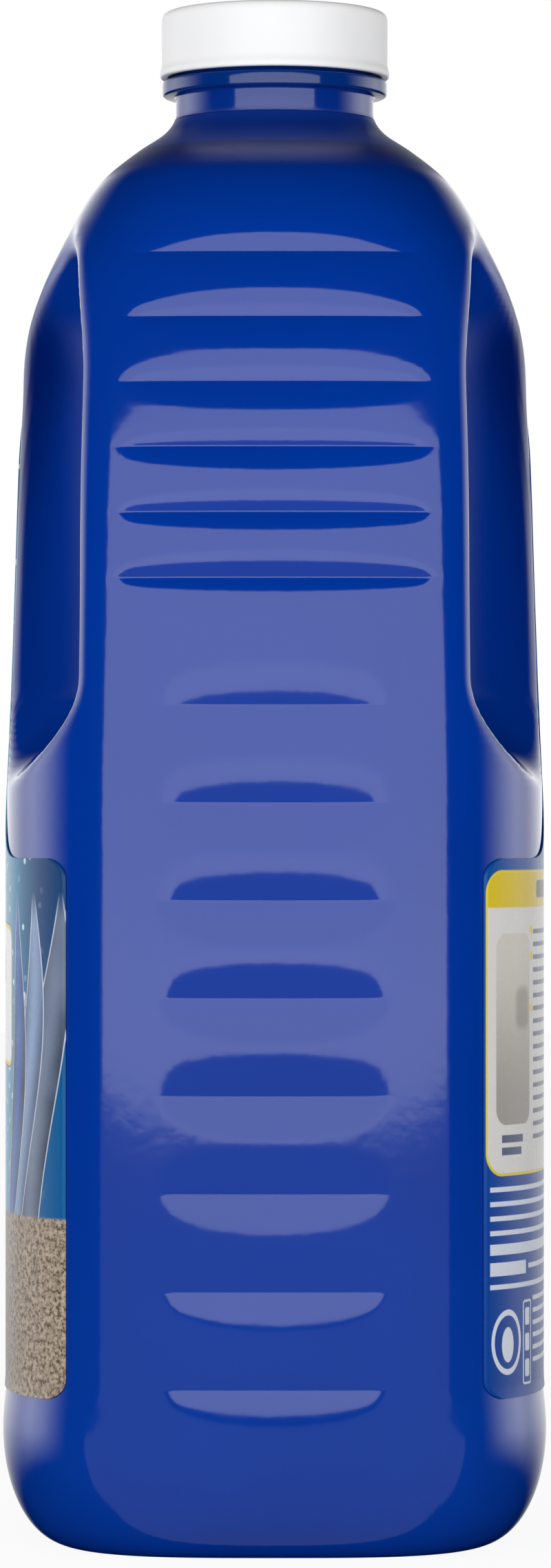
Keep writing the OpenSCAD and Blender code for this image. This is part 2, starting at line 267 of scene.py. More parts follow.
@dataclass(frozen=True)
class Thread:
    """A screw thread: a rounded section carried up a helix and tapered to nothing at both ends.

    The root radius lies a little inside the wall that the thread stands on. A crest inside the root
    makes the thread of a bore.
    """

    root: float
    crest: float
    z0: float
    pitch: float = 4.233 * MM
    turns: float = 1.25
    base_w: float = 2 * MM
    crest_w: float = 1.07 * MM
    start: float = math.radians(25)
    fade: float = math.radians(36)
    steps: int = 120

    def build(self) -> Shell:
        """Makes the thread's closed shell.

        A point lies at root + (crest - root) * lift * fade, and at the height that its turn has
        reached plus its place across the section.
        """
        t = np.linspace(0, 2 * np.pi * self.turns, self.steps + 1)
        fade = 0.02 + 0.98 * smooth_step(np.minimum(t, t[-1] - t) / self.fade)
        lift = np.array([0, 0.5, 0.94, 1, 0.94, 0.5, 0])
        across = np.array([-self.base_w, -0.7 * self.base_w, -self.crest_w * 0.84, 0,
                           self.crest_w * 0.84, 0.7 * self.base_w, self.base_w]) / 2
        r = self.root + (self.crest - self.root) * lift * fade[:, None]
        z = self.z0 + self.pitch * t[:, None] / (2 * np.pi) + across
        a = self.start + t[:, None] + 0 * z
        inside = self.crest < self.root
        points = np.stack([r * np.cos(a), r * np.sin(a), z], axis=-1)
        index = ring_index(self.steps + 1, len(across))
        mids = points[[0, -1]].mean(axis=1)
        count = (self.steps + 1) * len(across)
        faces = [grid_faces(index, flip=not inside), fan_faces(index[0], count, flip=inside),
                 fan_faces(index[-1], count + 1, flip=not inside)]
        return np.concatenate([points.reshape(-1, 3), mids]), faces


@dataclass(frozen=True)
class BottleSizes:
    """The bottle's driving sizes, as its construction has them.

    The two powers of a run of grooves say how its arcs above and below a crease shorten to their ends.
    """

    body_w: float = 130 * MM
    body_d: float = 106.6 * MM
    straight_h: float = 186 * MM
    shoulder_h: float = 97.5 * MM
    squareness: float = 3.5
    wall: float = 1.1 * MM
    bumper: float = 0.8 * MM
    foot_h: float = 22 * MM
    foot_in: float = 12 * MM
    rim_w: float = 5 * MM
    punt_h: float = 5 * MM
    groove_n: int = 8
    groove_pitch: float = 18.7 * MM
    groove_z: float = 33.4 * MM
    groove_half: float = 21.5 * MM
    groove_depth: float = 0.8 * MM
    groove_ends: Pair = (0.2, 0.45)
    grip_n: int = 6
    grip_pitch: float = 12.6 * MM
    grip_z: float = 188.9 * MM
    grip_half: float = 31.3 * MM
    grip_depth: float = 1.1 * MM
    grip_taper: float = 0.045
    grip_ends: Pair = (0.4, 0.4)
    groove_end: float = 2.5 * MM
    recess_back: float = 31 * MM
    recess_web: float = 27 * MM
    recess_near: float = 31 * MM
    recess_far: float = 29 * MM
    recess_rise: float = 23 * MM
    recess_low: float = 17.6 * MM
    recess_high: float = 37.8 * MM
    recess_z0: float = 170 * MM
    recess_z1: float = 228 * MM
    recess_soft: float = 8 * MM
    recess_crest: float = 2.2 * MM
    recess_ease: float = 16 * MM
    flat_half: float = 40 * MM
    flat_ease: float = 9 * MM
    neck_d: float = 39.8 * MM
    neck_bore: float = 34.9 * MM
    neck_h: float = 18.95 * MM
    ring_d: float = 45.3 * MM
    ring_t: float = 3 * MM
    finish_h: float = 11.25 * MM
    ledge: float = 0.25 * MM
    thread_h: float = 1.15 * MM
    thread_rise: float = 2.1 * MM
    bury: float = 0.3 * MM
    neck_cone: float = 2 * MM
    edge: float = 0.6 * MM
    width_curve: Curve = (
        (-0.1, 1), (0, 1), (0.14, 0.992), (0.28, 0.97), (0.41, 0.936), (0.54, 0.893), (0.68, 0.833),
        (0.79, 0.742), (0.887, 0.5), (0.947, 0.215), (0.975, 0.06), (1, 0), (1.1, 0),
    )
    depth_curve: Curve = (
        (-0.52, 1), (-0.38, 1), (0.04, 0.964), (0.38, 0.928), (0.555, 0.893), (0.655, 0.794),
        (0.76, 0.627), (0.86, 0.445), (0.925, 0.235), (0.968, 0.065), (1, 0), (1.1, 0),
    )
    square_curve: Curve = (
        (-0.1, 1), (0.3, 1), (0.68, 0.75), (0.86, 0.4), (1, 0), (1.1, 0),
    )

    @property
    def half_w(self) -> float:
        """Half of the body's width."""
        return self.body_w / 2

    @property
    def half_d(self) -> float:
        """Half of the body's depth."""
        return self.body_d / 2

    @property
    def neck_r(self) -> float:
        """Radius of the neck under the thread."""
        return self.neck_d / 2

    @property
    def foot_z(self) -> float:
        """Height of the neck's foot."""
        return self.straight_h + self.shoulder_h

    @property
    def mouth_z(self) -> float:
        """Height of the mouth's rim."""
        return self.foot_z + self.neck_h

    @property
    def ring_z1(self) -> float:
        """Height of the support ring's top."""
        return self.mouth_z - self.finish_h

    @property
    def groove_low(self) -> float:
        """Height where the lower grooves begin."""
        return self.groove_z - self.groove_pitch / 2

    @property
    def grip_low(self) -> float:
        """Height where the grip grooves begin."""
        return self.grip_z - self.grip_pitch / 2


@dataclass
class BottleSkin:
    """The outer skin of the blown body, as a function of a row and an angle."""

    s: BottleSizes = field(default_factory=BottleSizes)
    groove_steps: int = 8
    shoulder_rows: int = 64

    def share(self, z: np.ndarray) -> np.ndarray:
        """Height above the straight part, as a share of the shoulder's."""
        return (z - self.s.straight_h) / self.s.shoulder_h

    def bump(self, z: np.ndarray) -> np.ndarray:
        """How far the bumper stands out at height z: a smooth hump round the foot."""
        u = np.abs(z - self.s.foot_h) / (self.s.groove_z - self.s.foot_h)
        return np.where(u < 1, self.s.bumper * (1 - np.minimum(u, 1) ** 2) ** 2, 0)

    def half(self, z: np.ndarray, full: float, table: Curve) -> np.ndarray:
        """Half-size of the section at height z.

        It swells from the neck's radius to the body's half-size as the table's curve says.

        Args:
            z: heights.
            full: the body's half-size.
            table: the curve of the shoulder.

        Returns:
            The half-sizes.
        """
        root = self.s.neck_r + self.s.ledge
        return root + (full - root) * smooth_curve(table, self.share(z)) + self.bump(z)

    def wall_rows(self, z: np.ndarray) -> np.ndarray:
        """Rows (half-width, half-depth, squareness, z) of the wall at heights z."""
        s = self.s
        a = self.half(z, s.half_w, s.width_curve)
        b = self.half(z, s.half_d, s.depth_curve)
        n = 2 + (s.squareness - 2) * smooth_curve(s.square_curve, self.share(z))
        return np.stack([a, b, n, z], axis=-1)

    def base_rows(self) -> np.ndarray:
        """Rows of the base: the hollow in its middle, the flat rim and the rounding up to the bumper."""
        s = self.s
        a, b = self.wall_rows(np.array([s.foot_h]))[0, :2] - s.foot_in

        def run(share: np.ndarray | float, out: np.ndarray | float, z: np.ndarray) -> np.ndarray:
            """Rows whose half-sizes are a share of the rim's, or lie so far outside it."""
            return np.stack([a * share + out, b * share + out, s.squareness + 0 * z, z], axis=-1)

        inner = 1 - s.rim_w / b
        k = np.sin(np.linspace(0.05, np.pi / 2, 20))[:-1]
        rim = np.linspace(inner, 1, 5)
        u = np.linspace(0, np.pi / 2, 26)[1:]
        return np.concatenate([run(k * inner, 0, s.punt_h * (1 - k**6)), run(rim, 0, 0 * rim),
                               run(1, s.foot_in * np.sin(u), s.foot_h * (1 - np.cos(u)))])

    def creased(self, z0: float, pitch: float, count: int) -> np.ndarray:
        """Heights of rows over a run of grooves, closer together near each crease."""
        half = pitch / 2 * np.linspace(0, 1, self.groove_steps + 1) ** 1.6
        one = np.concatenate([-half[::-1], half[1:-1]])
        return (z0 + pitch * np.arange(count)[:, None] + one[None]).ravel()

    def rows(self) -> np.ndarray:
        """All rows of the skin, from the middle of the base up to the neck."""
        s = self.s
        low_top = s.groove_low + s.groove_n * s.groove_pitch
        grip_top = s.grip_low + s.grip_n * s.grip_pitch
        z = np.concatenate([
            np.linspace(s.foot_h, s.groove_low, 4)[1:-1],
            self.creased(s.groove_z, s.groove_pitch, s.groove_n),
            np.linspace(low_top, s.grip_low, 7)[:-1],
            self.creased(s.grip_z, s.grip_pitch, s.grip_n),
            np.linspace(grip_top, s.foot_z, self.shoulder_rows),
        ])
        return np.concatenate([self.base_rows(), self.wall_rows(z)])

    def angles(self, panel: int = 56, recess: int = 58, back: int = 20) -> np.ndarray:
        """Angles of the columns, closer together on the grip side and over the recesses.

        Args:
            panel: steps over the grip side.
            recess: steps over one recess.
            back: steps from there to the middle of the far side.

        Returns:
            The angles in radians, anticlockwise from one edge of the grip side.
        """
        edge, end = math.radians(37.5), math.radians(100)
        side = np.concatenate([
            np.linspace(edge, end, recess + 1)[1:],
            np.linspace(end, np.pi, back + 1)[1:],
        ])
        return np.concatenate([np.linspace(-edge, edge, panel + 1), side, 2 * np.pi - side[-2::-1]])

    def scooped(self, x: np.ndarray, y: np.ndarray, z: np.ndarray, a: np.ndarray) -> np.ndarray:
        """Half-depth left by the finger recesses.

        Each recess is a scoop with a parabola for its section, and parabolas for its two ends.

        Args:
            x: places across the bottle.
            y: half-depths of the plain section there.
            z: heights.
            a: half-widths of the section.

        Returns:
            The half-depths with the scoop taken away, its edges rounded.
        """
        s = self.s
        middle = a - s.recess_back
        across = np.where(x > middle, (x - middle) / s.recess_near, (middle - x) / s.recess_far)
        along = np.where(z < s.recess_z0, (s.recess_z0 - z) / s.recess_low,
                         np.where(z > s.recess_z1, (z - s.recess_z1) / s.recess_high, 0))
        floor = s.recess_web + s.recess_rise * (across**2 + along**2)
        away = np.maximum((x - middle) / s.recess_ease, along**2)
        soft = s.recess_crest + (s.recess_soft - s.recess_crest) * smooth_step(away)
        return np.where(z > s.foot_z, y, soft_min(y, floor, soft))

    def grooves(self, y: np.ndarray, z: np.ndarray) -> np.ndarray:
        """Depth of the grooves: the wall is a shallow arc above and below each crease."""
        s = self.s

        def run(z0: float, n: int, pitch: float, depth: float, half: np.ndarray | float,
                ends: Pair) -> np.ndarray:
            """Depth of one run of grooves."""
            i = np.clip(np.round((z - z0) / pitch), 0, n - 1)
            away = (z - z0 - i * pitch) / (pitch / 2)
            left = np.maximum(1 - (np.abs(y) / half) ** 2, 1e-6)
            reach = left ** np.where(away > 0, *ends)
            fade = left ** ends[1] * smooth_step((half - np.abs(y)) / s.groove_end)
            return depth * fade * (1 - np.minimum(np.abs(away) / reach, 1)) ** 2

        low = run(s.groove_z, s.groove_n, s.groove_pitch, s.groove_depth, s.groove_half, s.groove_ends)
        grip_half = s.grip_half - s.grip_taper * (z - s.grip_z)
        return low + run(s.grip_z, s.grip_n, s.grip_pitch, s.grip_depth, grip_half, s.grip_ends)

    def points(self, rows: np.ndarray, t: np.ndarray, grooved: bool = True) -> np.ndarray:
        """Points of the skin on given rows at given angles.

        The plain section is |x/a|^n + |y/b|^n = 1, read along rays of the stretched circle.

        Args:
            rows: half-widths, half-depths, squarenesses and heights.
            t: angles.
            grooved: whether the grooves are cut.

        Returns:
            An array of rows, columns and 3.
        """
        a, b, n, z = (rows[:, i][:, None] for i in range(4))
        c, d = np.cos(t)[None], np.sin(t)[None]
        k = (np.abs(c) ** n + np.abs(d) ** n) ** (-1 / n)
        x, y = a * c * k, b * d * k
        z = z + 0 * x
        y = np.sign(y) * self.scooped(x, np.abs(y), z, a)
        if grooved:
            s = self.s
            flat = smooth_step((s.flat_half - np.abs(y)) / s.flat_ease) * np.minimum(z / s.foot_h, 1)
            x = x - np.where(x > 0, flat * self.bump(np.maximum(z, s.foot_h)), 0)
            x = x - np.where((x > 0) & (z > s.foot_h), self.grooves(y, z), 0)
        return np.stack([x, y, z], axis=-1)

    def broadside(self, x: np.ndarray, z: np.ndarray) -> np.ndarray:
        """Distance of the skin from the middle plane at a place x across the bottle and a height z."""
        a, b, n, z = self.wall_rows(z).T
        return self.scooped(x, b * (1 - np.abs(x / a) ** n) ** (1 / n), z, a)


@dataclass
class Bottle:
    """The blown bottle with its neck, support ring and thread."""

    skin: BottleSkin = field(default_factory=BottleSkin)
    turn_steps: int = 176

    def body(self) -> Shell:
        """Makes the blown body as one closed shell.

        The rows run up the skin, over the lip and down the inside of the wall, which lies one wall's
        thickness in from the skin, without its grooves.
        """
        s = self.skin.s
        t, rows = self.skin.angles(), self.skin.rows()
        outer = self.skin.points(rows, t)
        thin = rows[np.unique(np.append(np.arange(0, len(rows), 7), len(rows) - 1))]
        plain = self.skin.points(thin, t, grooved=False)
        inner = plain - s.wall * grid_normals(plain)
        inner[-1, :, 2] = s.foot_z
        points = np.concatenate([outer, inner[::-1]])
        ends = points[[0, -1]].mean(axis=1)
        index = ring_index(len(points), len(t))
        count = index.max() + 1
        lids = [fan_faces(index[0], count, flip=True), fan_faces(index[-1], count + 1)]
        return np.concatenate([points.reshape(-1, 3), ends]), [grid_faces(index), *lids]

    def neck(self) -> Shell:
        """Makes the neck with its support ring and rounded mouth."""
        s = self.skin.s
        bore, r, ring = s.neck_bore / 2, s.neck_r, s.ring_d / 2
        z0, z1 = s.ring_z1 - s.ring_t, s.ring_z1
        return revolve(rounded_profile((
            (r - 2 * s.bury, s.foot_z - s.neck_cone, 0), (r - s.bury, s.foot_z - s.neck_cone, 0),
            (r, s.foot_z - s.bury, 0), (r, z0, s.edge), (ring, z0, s.edge), (ring, z1, s.edge),
            (r, z1, s.edge), (r, s.mouth_z, s.edge), (bore, s.mouth_z, s.edge),
            (bore, s.foot_z + s.neck_cone, s.edge),
        )), self.turn_steps)

    def thread(self) -> Shell:
        """Makes the thread on the neck, half a turn's rise above the one in the cap."""
        s = self.skin.s
        z0 = s.ring_z1 + s.thread_rise + Thread.pitch / 2
        return Thread(s.neck_r - s.bury, s.neck_r + s.thread_h, z0).build()

    def build(self) -> bpy.types.Object:
        """Makes the bottle's object."""
        shell = joined([self.body(), self.neck(), self.thread()])
        return make_object("blown_bottle", shell, BluePlastic(self.skin.s).material())


@dataclass
class Cap:
    """The screw cap: a turned shell with a thread inside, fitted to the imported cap's box."""

    s: BottleSizes
    top: float = 1.5 * MM
    clear: float = 0.45 * MM
    thread_clear: float = 0.35 * MM
    flare: float = 0.35 * MM
    flare_h: float = 2.2 * MM
    rounding: float = 1.8 * MM
    gate_r: float = 2.2 * MM
    gate_h: float = 0.25 * MM
    turn_steps: int = 192

    def build(self) -> bpy.types.Object:
        """Makes the cap's object."""
        low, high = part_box("cap")
        z0, z1, foot = low[2], high[2], high[0]
        s, e = self.s, self.s.edge
        side, bore, ceiling = foot - self.flare, s.neck_r + s.thread_h + self.clear, z1 - self.top
        shell = rounded_profile((
            (0.2 * MM, ceiling, 0), (bore, ceiling, e), (bore, z0, e), (foot, z0, e),
            (foot, z0 + 0.5 * self.flare_h, 0.4 * e), (side, z0 + self.flare_h, e),
            (side, z1, self.rounding), (2 * self.gate_r, z1, e), (1.6 * self.gate_r, z1 - self.gate_h, e),
            (self.gate_r, z1 - self.gate_h, e), (0.2 * MM, z1 - self.gate_h, 0),
        ), 8)
        thread = Thread(bore + s.bury, s.neck_r + self.thread_clear, s.ring_z1 + s.thread_rise)
        shells = joined([revolve(shell, self.turn_steps, closed=False), thread.build()])
        return make_object("screw_cap_shell", shells, CapPlastic().material())


@dataclass
class Liner:
    """The foam disc in the cap, with the groove that the mouth has pressed into it."""

    s: BottleSizes
    groove: float = 0.12 * MM
    edge: float = 0.25 * MM
    turn_steps: int = 128

    def build(self) -> bpy.types.Object:
        """Makes the disc's object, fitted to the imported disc's box."""
        low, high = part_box("cap_liner")
        z0, z1, r = low[2], high[2], high[0]
        bore, lip, e, pressed = self.s.neck_bore / 2, self.s.neck_r, self.edge, z0 + self.groove
        profile = rounded_profile((
            (0.2 * MM, z0, 0), (bore - e, z0, e), (bore, pressed, e), (lip, pressed, e),
            (lip + e, z0, e), (r, z0, e), (r, z1, e), (0.2 * MM, z1, 0),
        ), 3)
        shell = revolve(profile, self.turn_steps, closed=False)
        return make_object("foam_disc", shell, FoamSheet().material())


@dataclass
class Label:
    """A film label that follows the skin, with a tall end beyond the finger recess."""

    side: Side
    skin: BottleSkin
    half: float = 57 * MM
    z0: float = 30.6 * MM
    z1: float = 135 * MM
    z2: float = 224 * MM
    step: float = -1 * MM
    fillet: float = 42 * MM
    crown: float = 24 * MM
    tall_round: float = 12 * MM
    corner: float = 4 * MM
    clear: float = 0.1 * MM
    film: float = 0.25 * MM

    @property
    def middle(self) -> float:
        """Place across the bottle where the step up to the tall end begins."""
        return self.step + self.fillet

    @staticmethod
    def bite(distance: np.ndarray, radius: float) -> np.ndarray:
        """How far a quarter circle pulls an edge in, at a distance from the corner along the edge."""
        return radius - np.sqrt(np.maximum(radius**2 - np.maximum(radius - distance, 0) ** 2, 0))

    def left(self, z: np.ndarray) -> np.ndarray:
        """Place of the label's far edge at height z."""
        return -self.half + self.bite(z - self.z0, self.corner) + self.bite(self.z2 - z, self.crown)

    def low_right(self, z: np.ndarray) -> np.ndarray:
        """Place of the near edge below the recess."""
        return self.half - self.bite(z - self.z0, self.corner) - self.bite(self.z1 - z, self.corner)

    def tall_right(self, z: np.ndarray) -> np.ndarray:
        """Place of the near edge of the tall end, with its rounded rise from the step."""
        return self.step + self.bite(z - self.z1, self.fillet) - self.bite(self.z2 - z, self.tall_round)

    def around(self, x: np.ndarray) -> np.ndarray:
        """Length along the straight wall from the near edge to the place x, as on the flat film."""
        s = self.skin.s
        grid = np.linspace(-self.half, self.half, 2001)
        y = s.half_d * (1 - np.abs(grid / s.half_w) ** s.squareness) ** (1 / s.squareness)
        run = np.concatenate([[0], np.cumsum(np.hypot(np.diff(grid), np.diff(y)))])
        return run[-1] - np.interp(x, grid, run)

    def grid(self) -> tuple[np.ndarray, np.ndarray, list[np.ndarray]]:
        """Lays the label's columns and rows out.

        Returns:
            Places x and heights z of the vertices, and the grids of vertex numbers: the lower part up to
            the step, then the tall end, which shares the lower part's top row.
        """
        ease = np.sin(np.linspace(0, np.pi / 2, 13))
        c = self.corner
        low = np.concatenate([self.z0 + c * (1 - ease[::-1]),
                              np.linspace(self.z0 + c, self.z1 - c, 56)[1:-1],
                              self.z1 - c * (1 - ease)])
        rise = 1 - np.cos(np.linspace(0, np.pi / 2, 25))
        tall = np.concatenate([self.z1 + self.fillet * rise[1:],
                               np.linspace(self.z1 + self.fillet, self.z2 - self.crown, 14)[1:-1],
                               self.z2 - self.crown * rise[::-1]])
        main, spare = np.linspace(0, 1, 76), np.linspace(0, 1, 19)[1:]
        left, right = self.left(low)[:, None], self.low_right(low)[:, None]
        low_x = np.concatenate([left + (self.middle - left) * main,
                                self.middle + (right - self.middle) * spare], axis=1)
        left, right = self.left(tall)[:, None], self.tall_right(tall)[:, None]
        tall_x = left + (right - left) * main
        low_index = np.arange(low_x.size).reshape(low_x.shape)
        tall_index = low_x.size + np.arange(tall_x.size).reshape(tall_x.shape)
        tall_index = np.concatenate([low_index[-1:, :len(main)], tall_index])
        z = np.concatenate([np.repeat(low, low_x.shape[1]), np.repeat(tall, tall_x.shape[1])])
        return np.concatenate([low_x.ravel(), tall_x.ravel()]), z, [low_index, tall_index]

    def build(self, name: str, material: bpy.types.Material) -> bpy.types.Object:
        """Makes the label's object.

        A vertex stands off the skin along its normal (-dy/dx, 1, -dy/dz), and the film's thickness
        comes from Solidify.

        Args:
            name: the object's name.
            material: its printed film.

        Returns:
            The new object.
        """
        x, z, grids = self.grid()
        skin, step = self.skin.broadside, 0.05 * MM
        slope_x, slope_z = ((skin(x + dx, z + dz) - skin(x - dx, z - dz)) / (2 * step)
                            for dx, dz in ((step, 0), (0, step)))
        normal = unit_rows(np.stack([-slope_x, np.ones_like(x), -slope_z], axis=-1))
        points = np.stack([x, skin(x, z), z], axis=-1) + (self.clear + self.film) * normal
        points[:, 1] *= self.side.value
        flip = self.side is Side.BACK
        uv = np.stack([self.around(x), z], axis=-1)
        made = make_object(name, (points, [grid_faces(g, flip) for g in grids]), material, uv)
        solid = made.modifiers.new("film", "SOLIDIFY")
        solid.thickness = self.film
        solid.offset = -1
        return made


Socket = bpy.types.NodeSocket
Colour = tuple[float, float, float, float]


def paint(red: int, green: int, blue: int) -> Colour:
    """Turns a screen colour from 0 to 255 into a shader's linear colour."""
    def linear(v: int) -> float:
        """Undoes the screen's gamma."""
        c = v / 255
        return c / 12.92 if c <= 0.04045 else ((c + 0.055) / 1.055) ** 2.4
    return linear(red), linear(green), linear(blue), 1.0


def arithmetic(operation: str, turned: bool = False) -> Callable[[Value, Number], Value]:
    """Makes an operator of Value that adds one Math node, its two numbers turned round or not."""
    def apply(value: Value, other: Number) -> Value:
        """Adds the node."""
        return value.shader.math(operation, *((other, value) if turned else (value, other)))
    return apply


class Value:
    """A number on a shader socket. Arithmetic on it adds Math nodes."""

    __add__ = __radd__ = arithmetic("ADD")
    __sub__ = arithmetic("SUBTRACT")
    __rsub__ = arithmetic("SUBTRACT", turned=True)
    __mul__ = __rmul__ = arithmetic("MULTIPLY")
    __truediv__ = arithmetic("DIVIDE")

    def __init__(self, shader: Nodes, socket: Socket) -> None:
        """Wraps a socket of a shader's tree."""
        self.shader = shader
        self.socket = socket

    def __abs__(self) -> Value:
        """The size without the sign."""
        return self.shader.math("ABSOLUTE", self)


Number = Value | float


class Nodes:
    """A node tree that is written as expressions."""

    def __init__(self, tree: bpy.types.NodeTree) -> None:
        """Starts from an empty tree."""
        self.tree = tree
        tree.nodes.clear()

    def feed(self, socket: Socket, value: object) -> None:
        """Links a value to a socket, or sets a plain number, vector or colour on it."""
        if isinstance(value, Value):
            value = value.socket
        if isinstance(value, Socket):
            self.tree.links.new(value, socket)
        else:
            socket.default_value = value

    def node(self, kind: str, settings: dict[str, object] | None = None,
             inputs: dict[str | int, object] | None = None) -> bpy.types.Node:
        """Adds a node.

        Args:
            kind: the node's type.
            settings: its settings, which are set first.
            inputs: values or links of its sockets, by name or number.

        Returns:
            The node.
        """
        made = self.tree.nodes.new(kind)
        for key, value in (settings or {}).items():
            setattr(made, key, value)
        for key, value in (inputs or {}).items():
            self.feed(made.inputs[key], value)
        return made

    def math(self, operation: str, *values: Number, clamp: bool = False) -> Value:
        """Works out one operation on numbers."""
        settings = {"operation": operation, "use_clamp": clamp}
        return Value(self, self.node("ShaderNodeMath", settings, dict(enumerate(values))).outputs[0])

    def ramp(self, low: float, high: float, x: Number) -> Value:
        """Rises smoothly from 0 to 1 as x goes from low to high, or falls if high is the smaller."""
        if high < low:
            return 1 - self.ramp(high, low, x)
        made = self.node("ShaderNodeMapRange", {"interpolation_type": "SMOOTHSTEP"},
                         {"Value": x, "From Min": low, "From Max": high})
        return Value(self, made.outputs["Result"])

    def both(self, a: Number, b: Number) -> Value:
        """The smaller of two masks, which shows where both hold."""
        return self.math("MINIMUM", a, b)

    def either(self, a: Number, b: Number) -> Value:
        """The larger of two masks, which shows where one holds."""
        return self.math("MAXIMUM", a, b)

    def length(self, a: Value, b: Value) -> Value:
        """The length of a flat vector."""
        return self.math("SQRT", a * a + b * b)

    def mix(self, mask: Number, under: object, over: object) -> Socket:
        """Lays one colour over another where the mask is 1."""
        return self.node("ShaderNodeMix", {"data_type": "RGBA"}, {0: mask, 6: under, 7: over}).outputs[2]

    def noise(self, vector: Socket, scale: float, detail: float = 2, rough: float = 0.5) -> Value:
        """Reads a noise of so many waves to a unit."""
        inputs = {"Vector": vector, "Scale": scale, "Detail": detail, "Roughness": rough}
        return Value(self, self.node("ShaderNodeTexNoise", {}, inputs).outputs["Fac"])

    def split(self, vector: Socket) -> tuple[Value, Value, Value]:
        """The three numbers of a vector."""
        made = self.node("ShaderNodeSeparateXYZ", {}, {0: vector})
        return tuple(Value(self, out) for out in made.outputs)


class Shader(Nodes):
    """A material with one Principled surface."""

    def __init__(self, name: str, **uniform: object) -> None:
        """Makes the material.

        Args:
            name: the material's name.
            uniform: numbers and colours of the surface that are the same all over, by socket name with
                underscores for spaces.
        """
        self.result = bpy.data.materials.new(name)
        self.result.use_nodes = True
        super().__init__(self.result.node_tree)
        plain = {key.replace("_", " "): value for key, value in uniform.items()}
        self.surface = self.node("ShaderNodeBsdfPrincipled", {}, plain)
        self.node("ShaderNodeOutputMaterial", {}, {"Surface": self.surface.outputs["BSDF"]})
        self.place = self.node("ShaderNodeTexCoord").outputs["Object"]

    def finish(self, colour: Socket, roughness: Number, height: Number,
               distance: float) -> bpy.types.Material:
        """Sets what varies over the surface.

        Args:
            colour: its colour.
            roughness: its roughness.
            height: its fine relief, from 0 to 1.
            distance: the relief's height in metres.

        Returns:
            The material.
        """
        relief = self.node("ShaderNodeBump", {}, {"Strength": 1.0, "Distance": distance, "Height": height})
        varied = {"Base Color": colour, "Roughness": roughness, "Normal": relief.outputs["Normal"]}
        for name, value in varied.items():
            self.feed(self.surface.inputs[name], value)
        return self.result


@dataclass(frozen=True)
class BluePlastic:
    """Glossy dark blue polyethylene, a little see-through: paler where no liquid stands behind it.

    A pair of lengths says where a tint, a painted light or shade, or a finish begins and where it is full.
    Its colour holds painted light, lighter towards the foot, and painted shade: a dark band under the liquid
    line and a darker blue inside the finger recesses.
    """

    s: BottleSizes
    blue: Colour = paint(0, 51, 150)
    cloudy: Colour = paint(0, 46, 138)
    # painted light: a lighter blue laid over the wall towards the foot, where less of the broad light reaches
    foot: Colour = paint(4, 57, 156)
    empty: Colour = paint(4, 48, 140)
    # painted shade: a darker blue band on the top of the shoulder, just under the liquid line
    shade: Colour = paint(0, 32, 110)
    ring: Colour = paint(2, 46, 122)
    # painted shade: a darker blue laid inside the finger recesses
    recess_shade: Colour = paint(0, 22, 92)
    # where the painted lighter blue at the foot begins and where it is full
    foot_z: Pair = (100 * MM, 20 * MM)
    liquid_z: float = 275.5 * MM
    line_w: float = 0.5 * MM
    shade_h: float = 9 * MM
    # where the painted shade in the finger recesses begins and where it is full, across x and up z
    recess_x: tuple[Pair, Pair] = ((11.5 * MM, 3 * MM), (-1 * MM, 2 * MM))
    recess_z: tuple[Pair, Pair] = ((120 * MM, 240 * MM), (257 * MM, 236 * MM))
    collar_z: Pair = (268 * MM, 272 * MM)

    def material(self) -> bpy.types.Material:
        """Makes the material."""
        s = self.s
        sh = Shader("blue_polyethylene", IOR=1.5)
        x, y, z = sh.split(sh.place)
        cloud = sh.noise(sh.place, 28, 3)
        # painted light: the blue is painted lighter towards the foot, from 100 mm down to 20 mm
        low = sh.mix(sh.ramp(*self.foot_z, z), self.blue, self.foot)
        thin = sh.mix(sh.ramp(0.35, 0.7, cloud) * 0.25, low, self.cloudy)
        above = sh.ramp(self.liquid_z, self.liquid_z + self.line_w, z)
        # painted shade: the blue darkens over shade_h up to the liquid line, on the top of the shoulder
        below = sh.ramp(self.liquid_z - self.shade_h, self.liquid_z, z)
        colour = sh.mix(above, sh.mix(below, thin, self.shade), self.empty)
        # painted shade: darker blue inside the finger recesses, kept off the plain skin above them
        recess_shade = 0.9
        for where, spans in ((x, self.recess_x), (z, self.recess_z)):
            for span in spans:
                recess_shade = recess_shade * sh.ramp(*span, where)
        colour = sh.mix(recess_shade, colour, self.recess_shade)
        ring_z0 = s.ring_z1 - s.ring_t
        rim = sh.both(sh.ramp(s.neck_r + 0.5 * MM, s.ring_d / 2, sh.length(x, y)),
                      sh.ramp(ring_z0 - 1 * MM, ring_z0, z))
        scuff = sh.ramp(0.62, 0.8, sh.noise(sh.place, 190, 4, 0.65))
        collar = sh.both(sh.ramp(*self.collar_z, z), sh.ramp(s.foot_z + 1 * MM, s.foot_z, z))
        return sh.finish(sh.mix(rim, colour, self.ring), 0.07 + 0.05 * scuff + 0.02 * cloud + 0.28 * collar,
                         sh.noise(sh.place, 340, 2, 0.4), 0.012 * MM)


@dataclass(frozen=True)
class CapPlastic:
    """Smooth white polypropylene with a satin sheen."""

    white: Colour = paint(253, 253, 253)
    shade: Colour = paint(249, 249, 250)

    def material(self) -> bpy.types.Material:
        """Makes the material."""
        sh = Shader("white_polypropylene", IOR=1.49, Specular_IOR_Level=0.25)
        cloud = sh.noise(sh.place, 60, 3)
        return sh.finish(sh.mix(cloud, self.white, self.shade), 0.3 + 0.08 * cloud,
                         sh.noise(sh.place, 2600, 2, 0.6), 0.006 * MM)


